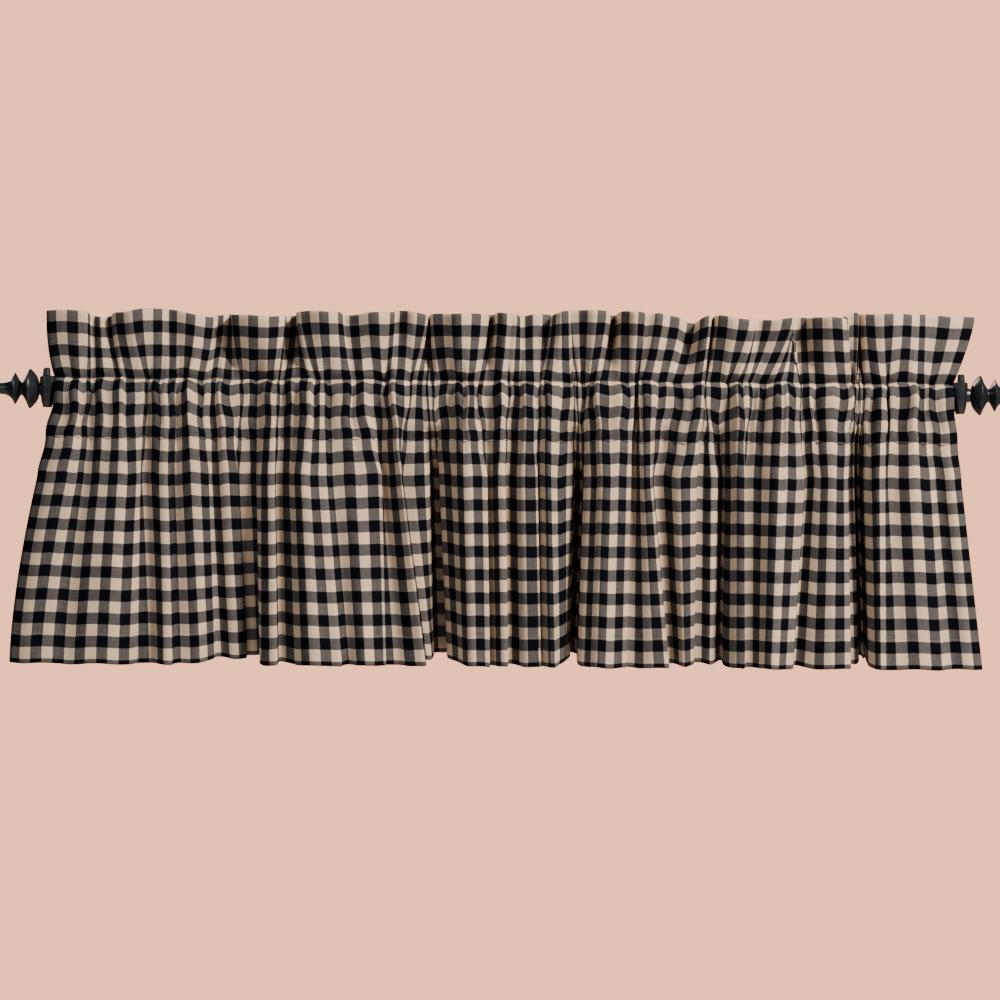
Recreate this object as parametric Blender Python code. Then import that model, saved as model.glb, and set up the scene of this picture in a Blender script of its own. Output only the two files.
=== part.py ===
"""A gathered check window valance on a plain black curtain rod.

One length of cloth hangs from the rod. It is folded over at the top, and two rows of
stitching make a rod pocket with a ruffled heading above it. Turned finials close the
rod's ends, and a cup bracket outside each edge of the cloth carries it from the wall.
X runs along the rod, +Y to the wall and +Z up; the origin is on the wall, midway
between the brackets, at the height of the rod's axis.
"""

import math

import bpy
import numpy as np

MM = 0.001

# Rod and brackets
WALL_TO_ROD = 70.0 * MM
ROD_RADIUS = 7.0 * MM
ROD_LEFT_END = -465.2 * MM
ROD_RIGHT_END = 467.5 * MM
ROD_CHAMFER = 0.8 * MM
GAP = 0.3 * MM

CUP_INNER_FACE = 447.3 * MM
CUP_LENGTH = 17.4 * MM
CUP_SEGMENTS = 28
CUP_SQUARENESS = 2.7
SCREW_RADIUS = 1.9 * MM
SCREW_SEGMENTS = 20
ARM_RADIUS = 4.5 * MM
PLATE_RADIUS = 11.0 * MM
PLATE_THICKNESS = 4.0 * MM
PLATE_SEGMENTS = 28
PLATE_CHAMFER = 0.7 * MM

# The bracket's cup in millimetres: (height, half length along the rod, half depth, how far
# outwards its middle stands from the rim's middle)
CUP_SECTIONS = (
    (-18.7, 3.9, 6.4, 1.3),
    (-17.8, 4.5, 7.2, 1.3),
    (-12.0, 6.2, 9.6, 1.0),
    (-5.0, 7.6, 11.6, 0.5),
    (2.0, 8.3, 12.4, 0.1),
    (5.2, 8.3, 12.5, 0.0),
    (5.8, 8.7, 13.0, 0.0),
    (11.8, 8.7, 13.0, 0.0),
    (12.6, 8.0, 12.3, 0.0),
)
# The set screw in millimetres: (height, radius)
SCREW_SECTIONS = (
    (7.3, 1.4),
    (7.8, 1.9),
    (12.9, 1.9),
    (12.9, 3.6),
    (13.4, 4.0),
    (20.2, 3.4),
    (21.0, 2.6),
)
SCREW_OUTWARD = 2.2 * MM

# Finials: (distance out from the base, radius) in millimetres
FINIAL_PROFILE = (
    (0.0, 5.2),
    (0.6, 8.0),
    (1.6, 11.5),
    (4.0, 15.0),
    (7.0, 18.2),
    (9.2, 19.9),
    (10.4, 19.4),
    (12.8, 13.5),
    (16.2, 7.6),
    (17.6, 6.4),
    (19.2, 7.6),
    (21.6, 11.8),
    (24.0, 15.7),
    (24.9, 15.2),
    (26.6, 11.6),
    (29.6, 8.2),
    (34.0, 6.2),
    (40.0, 5.6),
    (48.0, 5.6),
)
KNOB_RADIUS = 12.0
KNOB_STEPS = 9
FINIAL_SEGMENTS = 32
ROD_SEGMENTS = 40

# Cloth
CLOTH_THICKNESS = 1.2 * MM
CHECK = 23.3
CHECKS_ACROSS = 78.45
HEM_HEIGHT = -274.5
WAIST_HEIGHT = -88.0
LOWER_SEAM = -50.0
UPPER_SEAM = 10.6
SEAM_HALF_WIDTH = 1.4
POCKET_RADIUS = 8.5
BACK_RADIUS = 10.0
HEM_LIFT = 0.22
FACE_BULGE = 0.05
LAP_MOST = 2.0
CREASE_SOFTNESS = 0.2
GATHER_SOFTNESS = 1.3
SEAM_SOFTNESS = 1.0
SEAM_OUT = 1.8
SEAM_PUCKER = 2.6
POCKET_PUCKER = 4.2
POCKET_ANGLES = (-20, 12, 38)
BACK_ANGLES = (152, 200)
BACK_PUCKER = 1.5
SEAM_SPREAD = 0.62
SEAM_FOLDS = 0.3
SEAM_DEEPEST = -8.0
SIDE_PANEL = 12.0
SKIRT_FLARE = 0.55
HEADING_FLARE = 2.4
# Cloth that stands back from this far out hangs higher at the hem.
LIFT_FROM = 5.0

# Heights of the skirt's rows, and where the heading's rows stand between seam and top.
SKIRT_ROWS = (HEM_HEIGHT, -183.0, WAIST_HEIGHT, -64.0)
HEADING_ROWS = (0.3, 0.65, 1.0)
POCKET_FALL_ROW = 0.5

# Columns: the least distance in checks from a column to a skirt's or a heading's crease
# that gets one of its own, and the most between two columns.
SKIRT_COLUMN_GAP = 0.3
HEADING_COLUMN_GAP = 0.42
WIDEST_COLUMN = 1.1

# A crease line goes on this many checks past the cloth's sides before it is softened, at
# this many places either way of each check.
LINE_REACH = 6.0
BELL_STEPS = 8

# Cloth places are measured across from plumb lines left of the rod's middle.
HEM_PLUMB = -501.0
WAIST_PLUMB = -502.0
HEADING_PLUMB = -503.5
GATHER_LEFT = -445.5
GATHER_RIGHT = 446.0

# Columns: check at which a fold's face ends, check at which the next face starts; then at
# the waist and at the hem, how far across the face ends and the next one starts, and how
# far out the face's edge and the tuck behind it stand from the rod's axis.
SKIRT_FOLDS = (
    # ends, next, waist: ends next out back, hem: ends next out back
    (1.95, 2.35, 77, 80, 13, 5, 51, 60, 8, 6),
    (5.75, 6.75, 141, 146, 12, 2, 134, 154, 6, 4),
    (7.90, 8.30, 167, 170, 14, 3, 172, 176, 15, 1),
    (10.45, 11.00, 208, 210, 9, 0, 212, 219, -6, -12),
    (13.30, 14.00, 255, 261, -4, 6, 258, 261, -18, 6),
    (14.85, 15.75, 274, 277, 14, 0, 277, 280, 14, -3),
    (18.95, 20.35, 326, 328, 13, -3, 342, 346, 15, -7),
    (22.70, 23.70, 382, 385, 5, -3, 387, 398, 4, 1),
    (24.95, 25.60, 402, 404, 14, -3, 426, 428, 14, -9),
    (26.90, 28.40, 428, 432, -6, -24, 432, 436, -18, -27),
    (29.00, 29.80, 438, 440, -24, -6, 446, 449, -27, -10),
    (32.80, 33.70, 487, 489, 11, 0, 490, 493, 10, 1),
    (34.85, 35.90, 504, 507, 13, -3, 507, 510, 16, -4),
    (38.70, 39.20, 552, 556, 10, -2, 556, 559, 9, -10),
    (40.30, 42.10, 573, 577, -10, -24, 571, 573, -20, -28),
    (42.80, 43.70, 583, 586, -24, 2, 577, 579, -28, 2),
    (46.85, 47.80, 631, 634, 10, 2, 627, 630, 9, 3),
    (49.70, 50.70, 651, 657, 14, -3, 668, 671, 14, -7),
    (52.90, 53.80, 697, 699, 5, -4, 695, 698, -2, -8),
    (55.70, 56.30, 725, 728, -10, 2, 723, 726, -16, 3),
    (57.50, 58.70, 744, 747, 14, 1, 745, 748, 13, 0),
    (61.95, 62.90, 804, 806, 11, -2, 792, 794, 12, -4),
    (65.80, 66.80, 847, 850, 9, -4, 850, 853, 10, -8),
    (68.00, 70.30, 855, 858, -8, -20, 862, 865, -16, -26),
    (71.60, 72.70, 863, 867, -20, 2, 869, 872, -26, 3),
    (73.90, 74.50, 885, 887, 10, 4, 884, 896, 9, 7),
    (76.60, 77.10, 931, 937, 10, 6, 944, 954, 6, 4),
)
# Columns: the same for the heading's top edge, with the height of the edge above the rod's
# axis where the face ends and where the next one starts.
HEADING_FOLDS = (
    # ends, next, across: ends next, out, back, height: ends next
    (1.90, 2.20, 88, 91, 10, 0, 77, 71),
    (3.40, 3.90, 110, 113, -2, 6, 72, 75),
    (6.50, 6.95, 163, 167, 10, 4, 80, 79),
    (8.70, 9.60, 197, 210, 5, -5, 73, 70),
    (11.50, 12.40, 230, 233, -8, 9, 77, 73),
    (14.75, 15.90, 284, 288, 13, -8, 72, 75),
    (16.40, 17.00, 295, 298, -9, 6, 76, 78),
    (18.95, 19.60, 337, 341, 9, 0, 78, 76),
    (22.00, 22.90, 386, 390, 11, 3, 77, 79),
    (25.40, 26.20, 423, 426, 7, -7, 78, 76),
    (26.60, 27.10, 427, 430, -7, 6, 76, 77),
    (29.90, 31.50, 489, 493, 9, -5, 77, 78),
    (32.90, 34.10, 515, 518, 9, -4, 78, 76),
    (36.90, 37.60, 553, 556, -4, 5, 78, 78),
    (40.90, 42.40, 611, 614, 11, -10, 81, 78),
    (44.20, 44.90, 617, 620, -10, 5, 79, 81),
    (47.60, 48.60, 666, 668, 8, -2, 78, 77),
    (50.00, 50.80, 684, 689, 5, -6, 74, 69),
    (51.50, 51.95, 698, 701, -6, 4, 69, 74),
    (52.90, 54.10, 714, 717, 9, -4, 77, 76),
    (56.40, 57.60, 757, 760, 10, -2, 74, 77),
    (59.60, 61.10, 792, 796, 10, -8, 73, 75),
    (62.30, 62.85, 807, 811, -7, 4, 76, 76),
    (65.50, 68.60, 850, 853, 12, -5, 74, 81),
    (71.90, 72.80, 858, 861, -6, 6, 82, 81),
    (76.00, 76.50, 920, 925, 7, 3, 79, 79),
)
# Places of the cloth's two side edges: across, out and height.
WAIST_SIDES = ((36, 7), (960, 9))
HEM_SIDES = ((8, 3), (982, 5))
HEADING_SIDES = ((45, 3, 77), (974, 6, 76))

# Colours, linear
BLACK_PAINT = (0.012, 0.013, 0.015, 1.0)
CHECK_CLOTH = (0.20, 0.17, 0.14, 1.0)


def clear_scene():
    """Remove every object of the scene."""
    for item in list(bpy.data.objects):
        bpy.data.objects.remove(item, do_unlink=True)


def material(name, colour, roughness, metallic=0.0):
    """A Principled material."""
    made = bpy.data.materials.new(name)
    made.use_nodes = True
    shader = made.node_tree.nodes["Principled BSDF"]
    shader.inputs["Base Color"].default_value = colour
    shader.inputs["Roughness"].default_value = roughness
    shader.inputs["Metallic"].default_value = metallic
    return made


def add_object(name, points, faces, finish, smooth_angle=None):
    """Make one object from points in metres and its faces."""
    mesh = bpy.data.meshes.new(name)
    mesh.from_pydata([tuple(point) for point in points], [], faces)
    mesh.validate()
    mesh.materials.append(finish)
    made = bpy.data.objects.new(name, mesh)
    bpy.context.scene.collection.objects.link(made)
    if smooth_angle is not None:
        mesh.shade_smooth()
        mesh.set_sharp_from_angle(angle=smooth_angle)
    return made


# ---------------------------------------------------------------- cloth

def fold_creases(rows, sides, first):
    """Creases of one level as arrays (check, across, out).

    Each fold gives three: its face's edge, the foot of the tuck behind it and the start of
    the next face. The tuck takes up the cloth between them: what its depth and its open
    width leave over laps back behind the edge.
    """
    creases = [(0.0, sides[0][0], sides[0][1])]
    for row in rows:
        ends, starts = row[0], row[1]
        edge, after, out, back = row[first:first + 4]
        face_width = edge - creases[-1][1]
        middle_out = (creases[-1][2] + out) / 2 + FACE_BULGE * face_width
        creases.append(((creases[-1][0] + ends) / 2, edge - face_width / 2, middle_out))
        width = after - edge
        depth = abs(out - back)
        spare = (starts - ends) * CHECK - width
        lap = 0.0
        if spare > depth:
            lap = min((spare ** 2 - depth ** 2) / (2 * spare), LAP_MOST)
        side = math.hypot(lap, depth)
        foot = ends + (starts - ends) * side / (side + lap + width)
        creases.append((ends, edge, out))
        creases.append((foot, edge - lap, back))
        creases.append((starts, after, back))
    creases.append((CHECKS_ACROSS, sides[1][0], sides[1][1]))
    return np.array(creases).T


def softened(checks, line, values, softness):
    """Values along a crease line, averaged over a bell of the given spread in checks."""
    start_slope = (values[1] - values[0]) / (line[1] - line[0])
    end_slope = (values[-1] - values[-2]) / (line[-1] - line[-2])
    knots = np.concatenate(([line[0] - LINE_REACH], line, [line[-1] + LINE_REACH]))
    levels = np.concatenate((
        [values[0] - LINE_REACH * start_slope],
        values,
        [values[-1] + LINE_REACH * end_slope],
    ))
    total = np.zeros_like(checks)
    weights = 0.0
    for step in np.linspace(-2.0, 2.0, 2 * BELL_STEPS + 1):
        weight = math.exp(-step * step / 2)
        total += weight * np.interp(checks + step * softness, knots, levels)
        weights += weight
    return total / weights


def level_section(checks, creases, plumb, softness=CREASE_SOFTNESS):
    """Across and out of the softened cloth at one level."""
    across = softened(checks, creases[0], creases[1], softness) + plumb
    out = softened(checks, creases[0], creases[2], softness)
    return across, out


def puckers(checks):
    """Uneven gathers along the rod, from 0 in a dip to 1 on a crest."""
    phase = 2 * math.pi * checks / 2.6 + 1.6 * np.sin(checks / 2.3) + 0.9 * np.sin(checks / 5.1)
    size = 0.75 + 0.25 * np.sin(checks / 1.9 + 1.0)
    return (0.5 + 0.5 * np.sin(phase)) * size


def gather_section(checks, waist):
    """Across and out of the cloth drawn up on the rod: the waist's folds, evened out."""
    broad = softened(checks, waist[0], waist[1], GATHER_SOFTNESS)
    ends = softened(np.array([0.0, CHECKS_ACROSS]), waist[0], waist[1], GATHER_SOFTNESS)
    share = (broad - ends[0]) / (ends[1] - ends[0])
    across = GATHER_LEFT + share * (GATHER_RIGHT - GATHER_LEFT)
    out = SEAM_OUT + SEAM_PUCKER * puckers(checks)
    return across, out


def smooth_step(value):
    """Ease from 0 to 1."""
    value = min(max(value, 0.0), 1.0)
    return value * value * (3 - 2 * value)


class ClothForm:
    """The hung cloth's middle surface, one row of points at a time, in millimetres."""

    def __init__(self, checks):
        self.checks = checks
        waist = fold_creases(SKIRT_FOLDS, WAIST_SIDES, 2)
        hem = fold_creases(SKIRT_FOLDS, HEM_SIDES, 6)
        top = fold_creases(HEADING_FOLDS, HEADING_SIDES, 2)
        self.waist = level_section(checks, waist, WAIST_PLUMB)
        self.hem = level_section(checks, hem, HEM_PLUMB)
        self.top = level_section(checks, top, HEADING_PLUMB)
        self.gather = gather_section(checks, waist)
        eased = level_section(checks, waist, WAIST_PLUMB, SEAM_SOFTNESS)
        self.low_seam = (
            self.gather[0] + SEAM_SPREAD * (eased[0] - self.gather[0]),
            self.gather[1] + SEAM_FOLDS * np.clip(eased[1], SEAM_DEEPEST, None),
        )
        skirt_side = np.clip(1 - checks / SIDE_PANEL, 0, None)
        self.skirt_flare = 1 + SKIRT_FLARE * skirt_side
        self.heading_flare = HEADING_FLARE - checks / CHECKS_ACROSS
        self.top_height = self.heading_heights()

    def heading_heights(self):
        """Height of the heading's top edge, from the heights of its fold edges."""
        line = [0.0]
        heights = [HEADING_SIDES[0][2]]
        for row in HEADING_FOLDS:
            line += [row[0], row[1]]
            heights += [row[6], row[7]]
        line.append(CHECKS_ACROSS)
        heights.append(HEADING_SIDES[1][2])
        return softened(self.checks, np.array(line), np.array(heights), CREASE_SOFTNESS)

    def row(self, across, out, height):
        """Points of one row."""
        return np.stack((across, -out, np.broadcast_to(height, across.shape)), axis=1)

    def skirt(self, height):
        """A row of the skirt: hem, waist and gathers blended by height."""
        if height <= WAIST_HEIGHT:
            share = (WAIST_HEIGHT - height) / (WAIST_HEIGHT - HEM_HEIGHT)
            spread = 1 - (1 - share) ** self.skirt_flare
            across = self.waist[0] + spread * (self.hem[0] - self.waist[0])
            out = self.waist[1] + share * (self.hem[1] - self.waist[1])
            lift = HEM_LIFT * share * np.clip(LIFT_FROM - out, 0, None)
            return self.row(across, out, height + lift)
        share = smooth_step((height - WAIST_HEIGHT) / (LOWER_SEAM - WAIST_HEIGHT))
        across = self.waist[0] + share * (self.low_seam[0] - self.waist[0])
        out = self.waist[1] + share * (self.low_seam[1] - self.waist[1])
        return self.row(across, out, height)

    def seam(self, height):
        """A row on a seam."""
        section = self.gather if height > 0 else self.low_seam
        return self.row(section[0], section[1], height)

    def round_rod(self, angle, radius, pucker=POCKET_PUCKER):
        """A row of the pocket where it lies round the rod, angle in degrees from the front."""
        turn = math.radians(angle)
        stand = radius + pucker * puckers(self.checks)
        return self.row(self.gather[0], stand * math.cos(turn), stand * math.sin(turn))

    def pocket_fall(self, angle, radius, share):
        """A row of the pocket between the rod and the lower seam."""
        rod_row = self.round_rod(angle, radius)
        seam_row = self.seam(LOWER_SEAM + SEAM_HALF_WIDTH)
        return rod_row + share * (seam_row - rod_row)

    def heading(self, share):
        """A row of the heading's front layer, share 0 at the seam and 1 at the top."""
        spread = 1 - (1 - share) ** self.heading_flare
        across = self.gather[0] + spread * (self.top[0] - self.gather[0])
        out = self.gather[1] + spread * (self.top[1] - self.gather[1])
        start = UPPER_SEAM + SEAM_HALF_WIDTH
        return self.row(across, out, start + share * (self.top_height - start))


def cloth_columns():
    """Checks at which the solid has a column: each crease, and between them as needed."""
    waist = fold_creases(SKIRT_FOLDS, WAIST_SIDES, 2)[0]
    hem = fold_creases(SKIRT_FOLDS, HEM_SIDES, 6)[0]
    skirt = np.sort((waist + hem) / 2)
    heading = [row[0] for row in HEADING_FOLDS] + [row[1] for row in HEADING_FOLDS]
    chosen = [0.0, CHECKS_ACROSS]
    for nearest, creases in ((SKIRT_COLUMN_GAP, skirt), (HEADING_COLUMN_GAP, heading)):
        for crease in creases:
            if min(abs(crease - other) for other in chosen) >= nearest:
                chosen.append(float(crease))
    chosen.sort()
    columns = []
    for left, right in zip(chosen, chosen[1:]):
        pieces = max(1, math.ceil((right - left) / WIDEST_COLUMN))
        columns += [left + (right - left) * piece / pieces for piece in range(pieces)]
    columns.append(CHECKS_ACROSS)
    return np.array(columns)


def face_normals(rows):
    """Unit normals of a sheet of points [row, column], towards the sheet's front."""
    along = np.gradient(rows, axis=1)
    up = np.gradient(rows, axis=0)
    normal = np.cross(along, up)
    return normal / np.linalg.norm(normal, axis=2, keepdims=True)


def level_normals(row):
    """Unit normals of one row of points, level and towards the front."""
    normal = np.cross(np.gradient(row, axis=0), np.array((0.0, 0.0, 1.0)))
    return normal / np.linalg.norm(normal, axis=1, keepdims=True)


def build_cloth(finish):
    """The valance as one closed solid: skirt, pocket tunnel and doubled heading."""
    form = ClothForm(cloth_columns())
    half = CLOTH_THICKNESS / MM / 2
    low, high = LOWER_SEAM, UPPER_SEAM
    rows = [form.skirt(height) for height in SKIRT_ROWS]
    rows.append(form.seam(low - SEAM_HALF_WIDTH))
    skirt_end = len(rows) - 1
    rows.append(form.seam(low + SEAM_HALF_WIDTH))
    low_weld = len(rows) - 1
    rows.append(form.pocket_fall(POCKET_ANGLES[0], POCKET_RADIUS, POCKET_FALL_ROW))
    rows += [form.round_rod(angle, POCKET_RADIUS) for angle in POCKET_ANGLES]
    rows.append(form.seam(high - SEAM_HALF_WIDTH))
    high_weld = len(rows) - 1
    rows.append(form.seam(high + SEAM_HALF_WIDTH))
    heading_start = len(rows) - 1
    rows += [form.heading(share) for share in HEADING_ROWS]
    rows = np.array(rows)
    normals = face_normals(rows)
    for weld in (skirt_end, low_weld, high_weld, heading_start):
        normals[weld] = level_normals(rows[weld])

    layers = []

    def keep(points):
        layers.append(points)
        return len(layers) - 1

    # Each row's front and back. The cloth is doubled in the seams and the heading, where
    # the middle is the front layer's own back.
    front = []
    middle = []
    back = []
    for row, points in enumerate(rows):
        doubled = row in (skirt_end, low_weld) or row >= high_weld
        front.append(keep(points + half * normals[row]))
        middle.append(keep(points - half * normals[row]))
        back.append(keep(points - 3 * half * normals[row]) if doubled else None)

    sections = []
    for low_row in range(skirt_end):
        sections.append(band(front, middle, low_row))
    sections.append((
        front[skirt_end], front[low_weld], middle[low_weld],
        back[low_weld], back[skirt_end], middle[skirt_end],
    ))
    for low_row in range(low_weld, high_weld):
        sections.append(band(front, middle, low_row))
    sections.append((
        front[high_weld], front[heading_start], back[heading_start],
        back[high_weld], middle[high_weld],
    ))
    for low_row in range(heading_start, len(rows) - 1):
        sections.append(band(front, back, low_row))

    # The pocket's back runs round behind the rod from the upper seam to the lower one.
    outside = [back[high_weld]]
    inside = [middle[high_weld]]
    for angle in BACK_ANGLES:
        row = form.round_rod(angle, BACK_RADIUS, BACK_PUCKER)
        outward = row * np.array((0.0, 1.0, 1.0))
        outward /= np.linalg.norm(outward, axis=1, keepdims=True)
        outside.append(keep(row + half * outward))
        inside.append(keep(row - half * outward))
    outside.append(back[low_weld])
    inside.append(middle[low_weld])
    for row in range(len(outside) - 1):
        sections.append(band(outside, inside, row))

    used = sorted({corner for section in sections for corner in section})
    renumbered = {corner: place for place, corner in enumerate(used)}
    layers = [layers[corner] for corner in used]
    sections = [tuple(renumbered[corner] for corner in section) for section in sections]
    return extrude_section("valance_cloth", layers, sections, finish)


def band(outer, inner, row):
    """The section of cloth between one row and the next."""
    return (outer[row], outer[row + 1], inner[row + 1], inner[row])


def extrude_section(name, layers, sections, finish):
    """A closed solid whose every column has the same section of joined polygons.

    Edges that belong to one polygon only are walls and run from column to column; the
    polygons of the first and the last column close the ends.
    """
    count = len(layers)
    columns = len(layers[0])
    points = np.stack(layers, axis=1).reshape(-1, 3) * MM
    points[:, 1] += -WALL_TO_ROD
    edges = set()
    for section in sections:
        for start, end in zip(section, section[1:] + section[:1]):
            edges.add((start, end))
    walls = sorted(edge for edge in edges if (edge[1], edge[0]) not in edges)
    faces = []
    for column in range(columns - 1):
        here = column * count
        there = here + count
        for start, end in walls:
            faces.append((here + end, here + start, there + start, there + end))
    last = (columns - 1) * count
    for section in sections:
        faces.append(section)
        faces.append(tuple(last + corner for corner in reversed(section)))
    return add_object(name, points, faces, finish)


# ---------------------------------------------------------------- rod, finials, brackets

def turned(name, profile, start, direction, segments, finish):
    """A solid turned about the rod's axis from (distance, radius) pairs in metres."""
    points = []
    for distance, radius in profile:
        for step in range(segments):
            angle = 2 * math.pi * step / segments
            points.append((
                start + direction * distance,
                -WALL_TO_ROD + radius * math.cos(angle),
                radius * math.sin(angle),
            ))
    faces = []
    for ring in range(len(profile) - 1):
        for step in range(segments):
            after = (step + 1) % segments
            low = ring * segments
            high = low + segments
            face = (low + step, low + after, high + after, high + step)
            faces.append(face if direction > 0 else tuple(reversed(face)))
    first_cap = tuple(range(segments))
    last_cap = tuple((len(profile) - 1) * segments + step for step in range(segments))
    if direction > 0:
        faces.append(tuple(reversed(first_cap)))
        faces.append(last_cap)
    else:
        faces.append(first_cap)
        faces.append(tuple(reversed(last_cap)))
    return add_object(name, points, faces, finish, smooth_angle=math.radians(50))


def build_rod(finish):
    """The rod: a plain round bar with chamfered ends."""
    length = ROD_RIGHT_END - ROD_LEFT_END
    inner = ROD_RADIUS - ROD_CHAMFER
    profile = (
        (0.0, inner),
        (ROD_CHAMFER, ROD_RADIUS),
        (length - ROD_CHAMFER, ROD_RADIUS),
        (length, inner),
    )
    return turned("rod", profile, ROD_LEFT_END, 1, ROD_SEGMENTS, finish)


def finial_profile():
    """The finial's profile in metres: two discs and a neck, then a plain round knob."""
    profile = [(distance * MM, radius * MM) for distance, radius in FINIAL_PROFILE]
    neck_end, neck_radius = FINIAL_PROFILE[-1]
    first = math.asin(neck_radius / KNOB_RADIUS)
    centre = neck_end + KNOB_RADIUS * math.cos(first)
    last = math.pi - math.radians(9)
    for step in range(1, KNOB_STEPS + 1):
        angle = first + (last - first) * step / KNOB_STEPS
        distance = centre - KNOB_RADIUS * math.cos(angle)
        profile.append((distance * MM, KNOB_RADIUS * math.sin(angle) * MM))
    return profile


def build_finials(finish):
    """A finial at each end of the rod."""
    left = turned(
        "left_finial", finial_profile(), ROD_LEFT_END - GAP, -1, FINIAL_SEGMENTS, finish)
    right = turned(
        "right_finial", finial_profile(), ROD_RIGHT_END + GAP, 1, FINIAL_SEGMENTS, finish)
    return left, right


def lofted(name, rings, finish, smooth_angle):
    """A closed solid through rings of points that run anticlockwise seen from its end."""
    count = len(rings[0])
    points = [point for ring in rings for point in ring]
    faces = [tuple(reversed(range(count)))]
    for ring in range(len(rings) - 1):
        low = ring * count
        high = low + count
        for step in range(count):
            after = (step + 1) % count
            faces.append((low + step, low + after, high + after, high + step))
    last = (len(rings) - 1) * count
    faces.append(tuple(range(last, last + count)))
    return add_object(name, points, faces, finish, smooth_angle)


def rounded_ring(middle_x, height, half_x, half_y, squareness, segments):
    """A level ring between an oval and a block about the rod's axis."""
    ring = []
    for step in range(segments):
        angle = 2 * math.pi * (step + 0.5) / segments
        cosine, sine = math.cos(angle), math.sin(angle)
        x = math.copysign(abs(cosine) ** (2 / squareness), cosine) * half_x
        y = math.copysign(abs(sine) ** (2 / squareness), sine) * half_y
        ring.append((middle_x + x, -WALL_TO_ROD + y, height))
    return ring


def bar_to_wall(name, middle_x, sections, segments, finish):
    """A round bar square to the wall through (y, radius) sections, ordered to the wall."""
    rings = []
    for y, radius in sections:
        ring = []
        for step in range(segments):
            angle = -2 * math.pi * (step + 0.5) / segments
            ring.append((
                middle_x + radius * math.cos(angle),
                y,
                radius * math.sin(angle),
            ))
        rings.append(ring)
    return lofted(name, rings, finish, math.radians(40))


def add_boolean(item, other, operation):
    """Join or cut an object with another one, which is left out of the build."""
    step = item.modifiers.new(operation.lower(), "BOOLEAN")
    step.operation = operation
    step.solver = "EXACT"
    step.object = other
    other.hide_render = True
    other.display_type = "WIRE"


def build_bracket(name, side, finish):
    """A cup with a bore for the rod, an arm behind it and a round plate on the wall."""
    middle = side * (CUP_INNER_FACE + CUP_LENGTH / 2)
    rings = []
    for height, half_x, half_y, outward in CUP_SECTIONS:
        centre = middle + side * outward * MM
        rings.append(rounded_ring(
            centre, height * MM, half_x * MM, half_y * MM, CUP_SQUARENESS, CUP_SEGMENTS))
    cup = lofted(name, rings, finish, math.radians(35))

    arm_start = -WALL_TO_ROD + ROD_RADIUS + 3 * MM
    arm = bar_to_wall(name + ".arm", middle, (
        (arm_start, ARM_RADIUS),
        (-PLATE_THICKNESS, ARM_RADIUS),
        (-PLATE_THICKNESS, PLATE_RADIUS - PLATE_CHAMFER),
        (-PLATE_THICKNESS + PLATE_CHAMFER, PLATE_RADIUS),
        (0.0, PLATE_RADIUS),
    ), PLATE_SEGMENTS, finish)
    add_boolean(cup, arm, "UNION")

    reach = CUP_LENGTH
    bore_radius = ROD_RADIUS + GAP
    bore = turned(name + ".bore", ((0.0, bore_radius), (2 * reach, bore_radius)),
                  middle - reach, 1, ROD_SEGMENTS, finish)
    add_boolean(cup, bore, "DIFFERENCE")

    hole_radius = (SCREW_RADIUS + GAP) / MM
    hole_rings = []
    for height in (0.0, 2 * CUP_SECTIONS[-1][0]):
        hole_rings.append(rounded_ring(
            middle + side * SCREW_OUTWARD, height * MM, hole_radius * MM, hole_radius * MM,
            2.0, SCREW_SEGMENTS))
    hole = lofted(name + ".hole", hole_rings, finish, math.radians(40))
    add_boolean(cup, hole, "DIFFERENCE")
    return cup


def build_set_screw(name, side, finish):
    """The screw that stands on the cup and ends just above the rod."""
    middle = side * (CUP_INNER_FACE + CUP_LENGTH / 2 + SCREW_OUTWARD)
    rings = []
    for height, radius in SCREW_SECTIONS:
        rings.append(rounded_ring(
            middle, height * MM, radius * MM, radius * MM, 2.0, SCREW_SEGMENTS))
    return lofted(name, rings, finish, math.radians(40))


def main():
    clear_scene()
    paint = material("black_paint", BLACK_PAINT, 0.42)
    cloth = material("check_cloth", CHECK_CLOTH, 0.9)
    build_rod(paint)
    build_finials(paint)
    build_bracket("left_bracket", -1, paint)
    build_bracket("right_bracket", 1, paint)
    build_set_screw("left_set_screw", -1, paint)
    build_set_screw("right_set_screw", 1, paint)
    build_cloth(cloth)


main()
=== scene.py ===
"""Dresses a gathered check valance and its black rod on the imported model.

The cloth is one woven sheet: turned up at the hem, gathered on the rod in a sewn pocket
and folded over at the heading's top. The rod, finials and brackets are painted black.
"""

import math

import bpy
import numpy as np
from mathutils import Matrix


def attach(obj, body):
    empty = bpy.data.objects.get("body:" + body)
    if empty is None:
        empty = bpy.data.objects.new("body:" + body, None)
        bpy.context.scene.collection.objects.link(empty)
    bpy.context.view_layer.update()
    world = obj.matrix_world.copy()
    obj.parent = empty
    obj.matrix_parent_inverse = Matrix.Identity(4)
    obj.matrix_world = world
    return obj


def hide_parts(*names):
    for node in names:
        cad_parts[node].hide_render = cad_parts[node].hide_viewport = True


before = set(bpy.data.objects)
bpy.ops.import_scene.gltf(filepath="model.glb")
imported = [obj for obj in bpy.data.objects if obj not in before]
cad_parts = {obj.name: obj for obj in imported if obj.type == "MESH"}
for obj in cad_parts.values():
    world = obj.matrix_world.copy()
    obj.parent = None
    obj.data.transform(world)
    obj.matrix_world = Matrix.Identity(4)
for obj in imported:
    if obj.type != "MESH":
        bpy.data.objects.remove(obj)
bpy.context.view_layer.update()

bl_info = {
    "name": "Gathered check valance",
    "version": (1, 0, 0),
    "blender": (4, 5, 0),
    "location": "View3D > Sidebar > Valance",
    "description": "Builds a gathered check cloth valance on a rod with turned finials",
    "category": "Add Mesh",
}

MM = 0.001

# ------------------------------------------------------------------ sizes, in millimetres

WALL_TO_ROD = 70.0
ROD_RADIUS = 7.0
CHECKS_ACROSS = 78.45

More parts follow.
